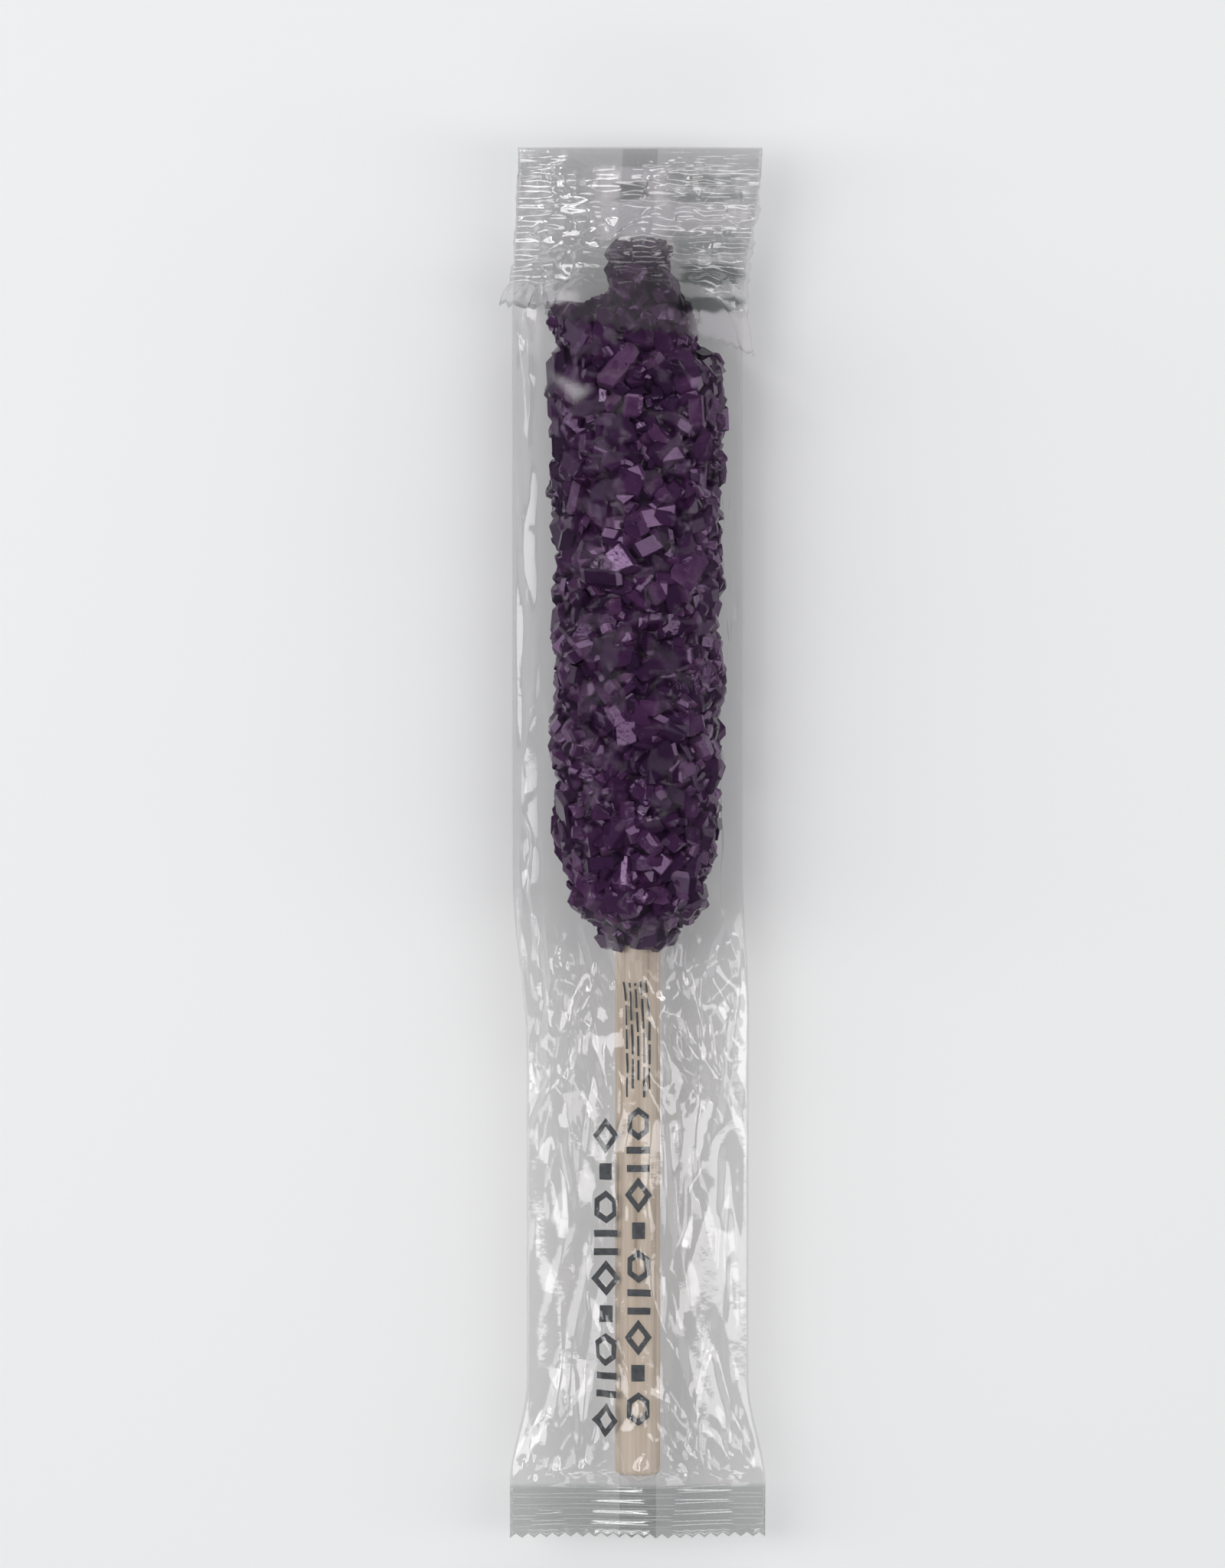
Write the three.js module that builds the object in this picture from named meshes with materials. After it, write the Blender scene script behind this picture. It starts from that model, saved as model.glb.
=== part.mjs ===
// A rock candy stick sealed in its clear film sleeve, lying down with its front up. Millimetres.
// X runs across the sleeve, Y along the stick with the candy end at +Y, and Z up from the table.
// The sleeve is sealed at both ends, so it is one solid out to its film: the sugar crystals press
// it into bumps, it is drawn flat on both sides of the wooden handle, its lower end is a crimped
// seal, and its upper end is folded forward over the candy as a flap with a slanting edge.
import * as THREE from "three";

// Driving dimensions. Stations are measured along the stick from the lower end of the wood.
const stickDiameter = 5.8;
const handleLength = 68;
const candyLength = 91;
const candyDiameter = 22.2;
const sleeveWidth = 29.6;
const handleSleeveWidth = 28.6;
const foldWidth = 31.2;
const sealWidth = 33;
const sealThickness = 0.9;
const sealLength = 7;
const tailLength = 8.5;
const foldAboveTip = 11.5;
const flapBelowTip = 11.7;
const flapThickness = 1.1;
const flapSlope = 6.4 / 29;
const filmSlack = 0.4;
const restingFlat = 0.5;

// The crystals that lift the film: how many, how high, how wide, the seed of their places, and
// how far their bed lies inside the candy's full diameter
const grainCount = 190;
const grainHeights = [0.5, 1.7];
const grainSpreads = [2.4, 4.6];
const grainSeed = 7;
const grainBed = 0.5;

// How finely the sleeve is drawn
const columns = 22;
const candyStep = 2.4;
const handleStep = 5.5;
const flapStep = 0.3;

// Stations and heights that follow from those
const tailEdge = -tailLength;
const tailSealTop = tailEdge + sealLength;
const candyBottom = handleLength;
const candyTip = candyBottom + candyLength;
const foldLine = candyTip + foldAboveTip;
const flapEdge = candyTip - flapBelowTip;
const halfway = (tailEdge + foldLine) / 2;
const candyCore = candyDiameter / 2 - grainBed;
const axisHeight = candyCore - restingFlat;
const handleCore = stickDiameter / 2 + filmSlack;
const sealCore = sealThickness / 2;

// Radius of what the film is drawn over: the seals, the wood and the candy with its pointed top
const coreProfile = [
  [tailSealTop, sealCore],
  [1.8, handleCore],
  [candyBottom - 3, handleCore],
  [candyBottom + 1.5, 0.62 * candyCore],
  [candyBottom + 7, 0.97 * candyCore],
  [candyBottom + 24, candyCore],
  [candyTip - 17, 0.98 * candyCore],
  [candyTip - 8, 0.8 * candyCore],
  [candyTip - 2, 0.46 * candyCore],
  [candyTip + 4, 0.1 * candyCore],
  [candyTip + 7, sealCore],
];

// Half the width from crease to crease
const reachProfile = [
  [tailEdge, sealWidth / 2],
  [tailSealTop, sealWidth / 2],
  [12, handleSleeveWidth / 2],
  [candyBottom - 16, handleSleeveWidth / 2],
  [candyBottom + 6, sleeveWidth / 2],
  [candyTip - 6, sleeveWidth / 2],
  [foldLine, foldWidth / 2],
];

// Height of the middle of the sleeve: the tail droops, and the upper end lifts towards its fold
const middleProfile = [
  [tailEdge, axisHeight - 1.6],
  [0, axisHeight],
  [candyTip - 6, axisHeight],
  [foldLine, axisHeight + 1.8],
];

// How far the creases at the sides hang below the middle
const droopProfile = [
  [tailEdge, 0.6],
  [8, 1.6],
  [candyBottom, 2.2],
  [candyTip - 10, 2.4],
  [foldLine, 0.8],
];

// Sideways lean of the loose upper end
const leanProfile = [
  [candyTip - 4, 0],
  [foldLine, 0.6],
];

// What the flap adds to the front, with a sharp lower edge
const flapProfile = [
  [flapEdge, 0],
  [flapEdge + flapStep, flapThickness],
];

// How much of the flap's slope the outlines take up, so that one of them runs along its edge
const slopeProfile = [
  [flapEdge - 24, 0],
  [flapEdge, flapSlope],
  [flapEdge + flapStep, flapSlope],
  [foldLine, 0],
];

// A repeatable random number from 0 to 1, as a generator function
function randomFrom(seed) {
  let state = seed;
  return () => {
    state = (state * 1664525 + 1013904223) % 4294967296;
    return state / 4294967296;
  };
}

const between = (low, high, share) => low + (high - low) * share;
const smooth = (share) => share * share * (3 - 2 * share);

// The value at a station of a profile that passes smoothly through [station, value] pairs
function along(profile, station) {
  const next = profile.findIndex(([place]) => place > station);
  if (next < 0) return profile[profile.length - 1][1];
  if (next === 0) return profile[0][1];
  const [from, low] = profile[next - 1];
  const [to, high] = profile[next];
  return between(low, high, smooth((station - from) / (to - from)));
}

// The crystals under the film, each a cone in the unrolled surface of the candy
function makeGrains() {
  const random = randomFrom(grainSeed);
  return Array.from({ length: grainCount }, () => ({
    turn: between(0, 2 * Math.PI, random()),
    station: between(candyBottom - 1, candyTip + 1, random()),
    height: between(...grainHeights, random()),
    spread: between(...grainSpreads, random()),
  }));
}

const grains = makeGrains();

// How far the crystals lift the film at a turn about the stick and a station along it
function grainLift(turn, station) {
  let lift = 0;
  for (const grain of grains) {
    const away = station - grain.station;
    if (Math.abs(away) > grain.spread) continue;
    const swing = Math.abs(Math.atan2(Math.sin(turn - grain.turn), Math.cos(turn - grain.turn)));
    const distance = Math.hypot(away, swing * along(coreProfile, station));
    lift = Math.max(lift, grain.height * (1 - distance / grain.spread));
  }
  return lift;
}

// Height over the creases of film drawn taut from a round core to a crease on each side
function drape(x, core, reach) {
  const touch = (core * core) / reach;
  if (Math.abs(x) < touch) return Math.sqrt(core * core - x * x);
  return (core / Math.sqrt(reach * reach - core * core)) * (reach - Math.abs(x));
}

// One point of the film at a share of the width from -1 to 1, on the front or the back
function filmPoint(station, share, side) {
  const core = along(coreProfile, station) + (side > 0 ? along(flapProfile, station) : 0);
  const reach = along(reachProfile, station);
  const x = share * reach;
  const height = Math.max(drape(x, core, reach), sealCore);
  const turn = Math.atan2(side * height, x);
  const held = 1 - smooth(Math.min(1, Math.abs(share)));
  const swell = 1 + (grainLift(turn, station) * held) / Math.hypot(x, height);
  const droop = along(droopProfile, station) * share * share;
  const z = along(middleProfile, station) + side * height * swell - droop;
  return [
    along(leanProfile, station) + x * swell,
    station - halfway - x * along(slopeProfile, station),
    Math.max(z, 0),
  ];
}

// The closed outline of the sleeve at one station, across the front and back underneath
function outline(station) {
  const shares = Array.from({ length: columns + 1 }, (_, i) => -Math.cos((Math.PI * i) / columns));
  return [
    ...shares.map((share) => filmPoint(station, share, 1)),
    ...shares.reverse().map((share) => filmPoint(station, share, -1)),
  ];
}

// Stations from one end to just before another, evenly spaced by about a step
function steps(from, to, step) {
  const count = Math.ceil((to - from) / step);
  return Array.from({ length: count }, (_, i) => from + ((to - from) * i) / count);
}

// Every station at which an outline is drawn
function allStations() {
  return [
    ...steps(tailEdge, 3, candyStep),
    ...steps(3, candyBottom - 5, handleStep),
    ...steps(candyBottom - 5, flapEdge, candyStep),
    flapEdge,
    ...steps(flapEdge + flapStep, foldLine, candyStep),
    foldLine,
  ];
}

// A closed geometry through outlines that all have the same number of points
function loft(outlines) {
  const size = outlines[0].length;
  const last = (outlines.length - 1) * size;
  const faces = [];
  for (let start = 0; start < last; start += size) {
    for (let i = 0; i < size; i++) {
      const a = start + i;
      const b = start + ((i + 1) % size);
      faces.push(a, b, a + size, b, b + size, a + size);
    }
  }
  for (let i = 0; i + 1 < size / 2; i++) {
    const across = size - 1 - i;
    faces.push(i, across, i + 1, i + 1, across, across - 1);
    faces.push(last + i, last + i + 1, last + across);
    faces.push(last + i + 1, last + across - 1, last + across);
  }
  const geometry = new THREE.BufferGeometry();
  geometry.setAttribute("position", new THREE.Float32BufferAttribute(outlines.flat(2), 3));
  geometry.setIndex(faces);
  geometry.computeVertexNormals();
  return geometry;
}

// The sleeve with its dark purple candy showing through
function makeWrappedStick() {
  const material = new THREE.MeshStandardMaterial({
    color: new THREE.Color(0.25, 0.16, 0.28),
    roughness: 0.2,
    metalness: 0,
  });
  const mesh = new THREE.Mesh(loft(allStations().map(outline)), material);
  mesh.name = "wrapped_stick";
  return mesh;
}

const rockCandyStick = new THREE.Group();
rockCandyStick.add(makeWrappedStick());

export default rockCandyStick;
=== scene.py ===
"""A rock candy stick in its clear film sleeve, lying down under a camera that looks down on it.

Sizes are in millimetres, and each mesh is scaled to metres as it is made. X runs across the
sleeve, Y along the stick with the candy end at +Y, and Z up from the table. A station is a
distance along the stick from the lower end of the wood, and a turn is an angle about the stick.
"""
import math

import bpy
import numpy as np
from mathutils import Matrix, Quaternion, Vector
from mathutils.bvhtree import BVHTree


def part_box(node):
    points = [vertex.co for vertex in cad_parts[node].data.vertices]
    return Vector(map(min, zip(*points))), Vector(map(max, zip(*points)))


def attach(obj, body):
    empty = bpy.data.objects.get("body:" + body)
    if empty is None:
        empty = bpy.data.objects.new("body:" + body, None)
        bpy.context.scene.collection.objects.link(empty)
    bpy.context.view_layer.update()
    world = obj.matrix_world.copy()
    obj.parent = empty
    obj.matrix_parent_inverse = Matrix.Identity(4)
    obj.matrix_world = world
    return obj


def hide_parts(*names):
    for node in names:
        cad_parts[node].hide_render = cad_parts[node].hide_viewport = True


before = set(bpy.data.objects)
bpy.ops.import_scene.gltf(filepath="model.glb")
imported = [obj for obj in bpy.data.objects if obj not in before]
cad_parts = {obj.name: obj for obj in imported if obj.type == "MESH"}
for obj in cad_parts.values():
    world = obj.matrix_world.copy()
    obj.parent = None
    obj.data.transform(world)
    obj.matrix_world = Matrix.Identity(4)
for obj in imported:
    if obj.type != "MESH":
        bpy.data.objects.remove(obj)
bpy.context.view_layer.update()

MM = 0.001
NODE = "wrapped_stick"
high_corner = np.array(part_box(NODE)[1]) / MM

# The stick, with the radius of its sanded edges, and the candy on it
STICK_RADIUS = 2.9
STICK_EDGE = 0.7
CANDY_BOTTOM = 68.0
CANDY_TIP = 159.0
STICK_END = CANDY_TIP - 6
AXIS_HEIGHT = 10.1

# The sleeve, from its crimped tail to the fold above the candy, and the flap folded forward there,
# whose edge slants down to the right
TAIL_EDGE = -8.5
TAIL_SEAL_TOP = -1.5
FOLD_LINE = 170.5
FLAP_EDGE = CANDY_TIP - 11.7
FLAP_SLOPE = 6.4 / 29

# The station over the frame's origin, and how far the film stays off the table and its contents
HALFWAY = FOLD_LINE - high_corner[1]
TABLE_GAP = 0.03
FILM_CLEAR = 0.12

# Seeds of the random draws
CRYSTAL_SEED = 11
CREASE_SEED = 5
FLAP_SEED = 23

# How far the candy reaches to the right and to the left of the stick, by station
RIGHT_PROFILE = [
    (CANDY_BOTTOM - 1.5, 3.5),
    (CANDY_BOTTOM + 1.5, 5.6),
    (CANDY_BOTTOM + 6, 9.3),
    (CANDY_BOTTOM + 14, 10.9),
    (CANDY_TIP - 22, 11.2),
    (CANDY_TIP - 16, 11.5),
    (CANDY_TIP - 14.4, 7.9),
    (CANDY_TIP - 8.5, 7.3),
    (CANDY_TIP - 5.5, 5.3),
    (CANDY_TIP - 2.5, 4.7),
    (CANDY_TIP, 4.2),
]
LEFT_PROFILE = [
    (CANDY_BOTTOM - 1.5, 3.5),
    (CANDY_BOTTOM + 1, 5.0),
    (CANDY_BOTTOM + 7, 9.6),
    (CANDY_BOTTOM + 15, 11.1),
    (CANDY_TIP - 12, 11.4),
    (CANDY_TIP - 9.4, 11.3),
    (CANDY_TIP - 7.9, 6.8),
    (CANDY_TIP - 6, 4.8),
    (CANDY_TIP - 2.5, 4.4),
    (CANDY_TIP, 3.8),
]

# Radius of what the film is first drawn over, half its width, the height of its middle, and how
# far its side creases hang below that, by station
CORE_PROFILE = [
    (TAIL_SEAL_TOP, 0.1),
    (1.8, 3.2),
    (CANDY_BOTTOM - 3, 3.2),
    (CANDY_BOTTOM + 1.5, 6.6),
    (CANDY_BOTTOM + 7, 10.2),
    (CANDY_TIP - 17, 10.4),
    (CANDY_TIP - 8, 8.5),
    (CANDY_TIP - 2, 4.9),
    (CANDY_TIP + 4, 1.1),
    (CANDY_TIP + 8, 0.1),
]
REACH_PROFILE = [
    (TAIL_EDGE, 16.5),
    (TAIL_SEAL_TOP, 16.5),
    (12, 14.3),
    (CANDY_BOTTOM - 16, 14.3),
    (CANDY_BOTTOM + 6, 14.8),
    (CANDY_TIP - 6, 14.8),
    (FOLD_LINE, 15.6),
]
MIDDLE_PROFILE = [
    (TAIL_EDGE, AXIS_HEIGHT - 1.6),
    (0, AXIS_HEIGHT),
    (CANDY_TIP - 6, AXIS_HEIGHT),
    (FOLD_LINE, AXIS_HEIGHT + 1.8),
]
DROOP_PROFILE = [
    (TAIL_EDGE, 0.6),
    (8, 1.6),
    (CANDY_BOTTOM, 2.2),
    (CANDY_TIP - 10, 2.4),
    (FOLD_LINE, 0.8),
]

# How far the film sits to the left or right of the stick
SHIFT_PROFILE = [
    (CANDY_BOTTOM - 12, 0),
    (CANDY_BOTTOM + 10, -1.3),
    (CANDY_TIP - 10, -1.3),
    (FOLD_LINE, 0.3),
]

# Columns across one side of the film, the half width of one side laid flat, where the columns then
# lie, and how many rounds the film takes to settle
COLUMNS = 84
FLAT_HALF_WIDTH = 19.4
ACROSS = np.linspace(-FLAT_HALF_WIDTH, FLAT_HALF_WIDTH, COLUMNS + 1)
SETTLE_ROUNDS = 70


def smooth(share):
    """An eased share, from 0 to 1."""
    share = np.clip(share, 0.0, 1.0)
    return share * share * (3 - 2 * share)


def along(profile, station):
    """The value at a station of a profile that passes smoothly through (station, value) pairs."""
    places, values = np.array(profile, float).T
    spot = np.clip(np.searchsorted(places, station, side="right") - 1, 0, len(places) - 2)
    share = (station - places[spot]) / (places[spot + 1] - places[spot])
    return values[spot] + (values[spot + 1] - values[spot]) * smooth(share)


def add_piece(name, corners, faces, material, rounded=True):
    """A piece from corners in millimetres, which rides on the part and stands for its solid."""
    mesh = bpy.data.meshes.new(name)
    mesh.from_pydata((np.asarray(corners).reshape(-1, 3) * MM).tolist(), [], faces)
    mesh.polygons.foreach_set("use_smooth", [rounded] * len(mesh.polygons))
    mesh.materials.append(material)
    mesh.update()
    piece = bpy.data.objects.new(name, mesh)
    bpy.context.scene.collection.objects.link(piece)
    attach(piece, "root")
    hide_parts(NODE)
    return piece


def add_attribute(piece, name, domain, values):
    """A number on each point or face of a piece, for its material."""
    attribute = piece.data.attributes.new(name, "FLOAT", domain)
    attribute.data.foreach_set("value", np.asarray(values, np.float32).ravel())


def grid_faces(rows, columns, closed):
    """Faces between rows of points, each row closed into a ring or open."""
    faces = []
    for row in range(rows - 1):
        for column in range(columns if closed else columns - 1):
            a = row * columns + column
            b = row * columns + (column + 1) % columns
            faces.append((a, b, b + columns, a + columns))
    return faces


def tube_faces(rows, columns):
    """Faces of a tube whose rings run towards +Y, with both of its ends closed."""
    last = (rows - 1) * columns
    sides = [tuple(reversed(face)) for face in grid_faces(rows, columns, True)]
    return sides + [tuple(range(columns)), tuple(reversed(range(last, last + columns)))]


# The candy


def candy_reach(turn, station):
    """How far the candy's uneven outline lies from the stick's axis."""
    right = along(RIGHT_PROFILE, station)
    left = along(LEFT_PROFILE, station)
    lumps = np.sin(2 * turn + 0.19 * station) * np.sin(0.37 * station + 1.1)
    lumps += 0.6 * np.sin(3 * turn - 0.43 * station + 2)
    return (left + (right - left) * (1 + np.cos(turn)) / 2) * (1 + 0.03 * lumps)


def candy_point(turn, station):
    """The point of the candy's outline at a turn and a station."""
    reach = candy_reach(turn, station)
    return np.array([
        reach * math.cos(turn),
        station - HALFWAY,
        AXIS_HEIGHT + reach * math.sin(turn),
    ])


def candy_normal(turn, station):
    """The outward direction of the candy's outline at a turn and a station."""
    swing, step = 0.04, 0.4
    round_it = candy_point(turn + swing, station) - candy_point(turn - swing, station)
    up_it = candy_point(turn, station + step) - candy_point(turn, station - step)
    normal = np.cross(up_it, round_it)
    return normal / np.linalg.norm(normal)


# A crystal's corners lie in rings: one at each of its ends, and one where that end's bevel starts
CRYSTAL_RINGS = 4
RING_CORNERS = 6
CRYSTAL_CORNERS = CRYSTAL_RINGS * RING_CORNERS


def crystal_shape(rng):
    """Corners of a sugar crystal about two units wide: a slanted block with bevelled ends."""
    cut, notch = rng.uniform(0.25, 0.75, 2)
    outline = np.array([
        (-1, -1), (1 - cut, -1), (1, notch - 1), (1, 1), (cut - 1, 1), (-1, 1 - notch),
    ])
    outline[:, 1] *= rng.uniform(0.6, 0.95)
    length = rng.uniform(0.7, 1.3)
    bevel = rng.uniform(0.2, 0.45)
    taper = rng.uniform(0.5, 0.8)
    rings = []
    for end in (-1, 1):
        slant = outline @ rng.uniform(-0.35, 0.35, 2)
        body = np.column_stack([outline, end * length + slant])
        tip = np.column_stack([outline * taper, end * (length + bevel) + slant * taper])
        rings += [tip, body] if end < 0 else [body, tip]
    return np.concatenate(rings)


def crystal_faces():
    """Faces of such a crystal, between its rings and over its two ends."""
    sides = grid_faces(CRYSTAL_RINGS, RING_CORNERS, True)
    first_end = tuple(reversed(range(RING_CORNERS)))
    last_end = tuple(range(CRYSTAL_CORNERS - RING_CORNERS, CRYSTAL_CORNERS))
    return [first_end] + sides + [last_end]


# Crystals by size: the spacing between them, half their width, how far they stand out of the
# candy's outline, and how often a place is tried
CRYSTAL_SIZES = [
    {"spacing": 3.6, "half": (1.5, 2.15), "out": (-0.6, 0.5), "tries": 3600},
    {"spacing": 2.3, "half": (1.0, 1.5), "out": (-0.6, 0.25), "tries": 7000},
    {"spacing": 1.65, "half": (0.6, 1.0), "out": (-1.0, 0.0), "tries": 7500},
]

# How many shapes the crystals share, how many of them lie on the candy's flat top and over how
# much of its width, and how far past the tip one may reach
SHAPE_COUNT = 40
TIP_COUNT = 34
TIP_SPREAD = 0.72
PAST_TIP = (-0.4, 0.3)


def crystal_places(rng, spacing, tries):
    """Points of the candy's outline with their outward directions, at least a spacing apart."""
    kept = np.empty((0, 3))
    places = []
    widest = max(reach for _, reach in RIGHT_PROFILE + LEFT_PROFILE)
    for _ in range(tries):
        turn = rng.uniform(0, 2 * math.pi)
        station = rng.uniform(CANDY_BOTTOM, CANDY_TIP)
        if rng.uniform(0, widest) > candy_reach(turn, station):
            continue
        point = candy_point(turn, station)
        if len(kept) and np.min(np.sum((kept - point) ** 2, axis=1)) < spacing**2:
            continue
        kept = np.vstack([kept, point])
        places.append((point, candy_normal(turn, station)))
    return places


def tip_places(rng):
    """Points on the flat top of the candy, with the direction out of it."""
    places = []
    for _ in range(TIP_COUNT):
        turn = rng.uniform(0, 2 * math.pi)
        spread = TIP_SPREAD * math.sqrt(rng.uniform()) * candy_reach(turn, CANDY_TIP)
        point = candy_point(turn, CANDY_TIP)
        point[0] = spread * math.cos(turn)
        point[2] = AXIS_HEIGHT + spread * math.sin(turn)
        places.append((point, np.array([0.0, 1.0, 0.0])))
    return places


def set_crystal(rng, shapes, size, point, normal):
    """Corners of one crystal, turned at random and set into the candy's outline at a point."""
    spin = Quaternion(rng.normal(size=4).tolist()).normalized()
    shape = shapes[rng.integers(len(shapes))] * rng.uniform(*size["half"])
    shape = shape @ np.array(spin.to_matrix()).T
    depth = np.max(shape @ normal) - rng.uniform(*size["out"])
    shape = shape + point - normal * depth
    past_tip = np.max(shape[:, 1]) - (CANDY_TIP - HALFWAY) - rng.uniform(*PAST_TIP)
    shape[:, 1] -= max(past_tip, 0)
    shape[:, 2] = np.maximum(shape[:, 2], TABLE_GAP + 2 * FILM_CLEAR)
    return shape


def make_crystals(material):
    """The sugar crystals, joined in one mesh, each with its own tint. Those of the middle size
    also lie on the candy's flat top."""
    rng = np.random.default_rng(CRYSTAL_SEED)
    shapes = [crystal_shape(rng) for _ in range(SHAPE_COUNT)]
    shape_faces = crystal_faces()
    corners, faces, tints = [], [], []
    for size in CRYSTAL_SIZES:
        places = crystal_places(rng, size["spacing"], size["tries"])
        if size is CRYSTAL_SIZES[1]:
            places += tip_places(rng)
        for point, normal in places:
            start = CRYSTAL_CORNERS * len(tints)
            corners.append(set_crystal(rng, shapes, size, point, normal))
            faces += [tuple(start + corner for corner in face) for face in shape_faces]
            tints.append(rng.uniform())
    piece = add_piece(
        "sugar_crystals", np.concatenate(corners), faces, material, rounded=False
    )
    add_attribute(piece, "tint", "FACE", np.repeat(tints, len(shape_faces)))
    return piece


def make_candy_core(material):
    """The grown-together sugar between the crystals and the stick."""
    turns = np.linspace(0, 2 * math.pi, 72, endpoint=False)
    stations = np.linspace(CANDY_BOTTOM + 0.5, CANDY_TIP - 1.5, 130)
    turn_grid, station_grid = np.meshgrid(turns, stations)
    depth, thinnest, lowest = 1.7, 1.2, 1.0
    rough = 0.35 * np.sin(9 * turn_grid + station_grid) * np.sin(1.7 * station_grid)
    reach = np.maximum(candy_reach(turn_grid, station_grid) - depth + rough, thinnest)
    corners = np.stack([
        reach * np.cos(turn_grid),
        station_grid - HALFWAY,
        np.maximum(AXIS_HEIGHT + reach * np.sin(turn_grid), lowest),
    ], axis=-1)
    faces = tube_faces(len(stations), len(turns))
    return add_piece("candy_core", corners, faces, material)


def make_stick(material):
    """The wooden stick, with its ends sanded round."""
    edge_turns = np.linspace(0, math.pi / 2, 7)
    edge = [
        (STICK_EDGE * (1 - math.cos(turn)), STICK_RADIUS - STICK_EDGE * (1 - math.sin(turn)))
        for turn in edge_turns
    ]
    middle = 0.05
    profile = [(0.0, middle)] + edge
    profile += [(station, STICK_RADIUS) for station in np.linspace(2, STICK_END - 2, 60)]
    profile += [(STICK_END - station, radius) for station, radius in reversed(edge)]
    profile.append((STICK_END, middle))
    turns = np.linspace(0, 2 * math.pi, 48, endpoint=False)
    corners = []
    for station, radius in profile:
        wobble = 1 + 0.006 * np.sin(2 * turns + 0.11 * station)
        corners += [
            (radius * w * math.cos(t), station - HALFWAY, AXIS_HEIGHT + radius * w * math.sin(t))
            for t, w in zip(turns, wobble)
        ]
    faces = tube_faces(len(profile), len(turns))
    return add_piece("wooden_stick", corners, faces, material)


# The film


class ReachMap:
    """How far the contents reach out from the stick's axis, by turn and station."""

    turns = 240
    pitch = 0.4
    outside = 20.0

    def __init__(self, pieces):
        trees = [
            BVHTree.FromPolygons(
                [v.co / MM for v in piece.data.vertices],
                [p.vertices for p in piece.data.polygons],
            )
            for piece in pieces
        ]
        self.count = int((CANDY_TIP + 4) / self.pitch) + 1
        self.reach = np.zeros((self.count, self.turns))
        for row in range(self.count):
            y = row * self.pitch - HALFWAY
            for column in range(self.turns):
                turn = 2 * math.pi * column / self.turns
                out = Vector((math.cos(turn), 0, math.sin(turn)))
                self.reach[row, column] = self.look_in(trees, y, out)
        padded = np.pad(self.reach, ((1, 1), (0, 0)))
        for shift in (-1, 1):
            beside = np.roll(self.reach, shift, axis=1)
            above = padded[1 + shift : 1 + shift + self.count]
            self.reach = np.maximum(self.reach, np.maximum(beside, above))

    def look_in(self, trees, y, out):
        """The reach in one direction: how far from the axis a ray from outside meets something."""
        start = Vector((0, y, AXIS_HEIGHT)) + out * self.outside
        distances = [tree.ray_cast(start, -out, self.outside)[3] for tree in trees]
        return max((self.outside - d for d in distances if d is not None), default=0.0)

    def at(self, turn, station):
        """The reach at turns and stations, between the map's points."""
        column = (turn / (2 * math.pi) % 1) * self.turns
        row = np.clip(station / self.pitch, 0, self.count - 1.001)
        inside = (station > 0) & (station < (self.count - 1) * self.pitch)
        c, r = column.astype(int), row.astype(int)
        cs, rs = column - c, row - r
        c, beside = c % self.turns, (c + 1) % self.turns
        low = self.reach[r, c] * (1 - cs) + self.reach[r, beside] * cs
        high = self.reach[r + 1, c] * (1 - cs) + self.reach[r + 1, beside] * cs
        return np.where(inside, low * (1 - rs) + high * rs, 0)


def film_stations():
    """Stations of the film's rows, closest together at the crimped tail."""
    tail_step, handle_step, candy_step = 0.27, 0.55, 0.45
    drawn_in = CANDY_BOTTOM - 6
    return np.concatenate([
        np.arange(TAIL_EDGE, 0, tail_step),
        np.arange(0, drawn_in, handle_step),
        np.arange(drawn_in, FOLD_LINE - 0.3, candy_step),
        [FOLD_LINE],
    ])


def taut_outline(core, reach):
    """One side of film drawn from crease to crease over a round core, in even steps."""
    samples = 601
    x = np.linspace(-reach, reach, samples)
    touch = core * core / reach
    slope = core / math.sqrt(reach * reach - core * core)
    over = np.sqrt(np.maximum(core * core - x * x, 0))
    height = np.where(np.abs(x) < touch, over, slope * (reach - np.abs(x)))
    length = np.concatenate([[0], np.cumsum(np.hypot(np.diff(x), np.diff(height)))])
    even = np.linspace(0, length[-1], COLUMNS + 1)
    return np.interp(even, length, x), np.interp(even, length, height)


def first_film(stations):
    """The film as rings of points before it settles: the front from left to right, the back."""
    rings = []
    for station in stations:
        reach = float(along(REACH_PROFILE, station))
        x, height = taut_outline(float(along(CORE_PROFILE, station)), reach)
        droop = float(along(DROOP_PROFILE, station)) * (x / reach) ** 2
        middle = float(along(MIDDLE_PROFILE, station)) - droop
        y = np.full_like(x, station - HALFWAY)
        x = x + float(along(SHIFT_PROFILE, station))
        front = np.column_stack([x, y, middle + height])
        back = np.column_stack([x, y, middle - height])
        rings.append(np.concatenate([front, back[-2:0:-1]]))
    return np.array(rings)


def keep_clear(film, stations, reach_map):
    """Pushes the film out of its contents and off the table."""
    turn = np.arctan2(film[:, :, 2] - AXIS_HEIGHT, film[:, :, 0])
    out = np.hypot(film[:, :, 2] - AXIS_HEIGHT, film[:, :, 0])
    need = reach_map.at(turn, np.broadcast_to(stations[:, None], turn.shape)) + FILM_CLEAR
    out = np.maximum(out, need)
    film[:, :, 0] = out * np.cos(turn)
    film[:, :, 2] = np.maximum(AXIS_HEIGHT + out * np.sin(turn), TABLE_GAP + FILM_CLEAR)


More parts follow.
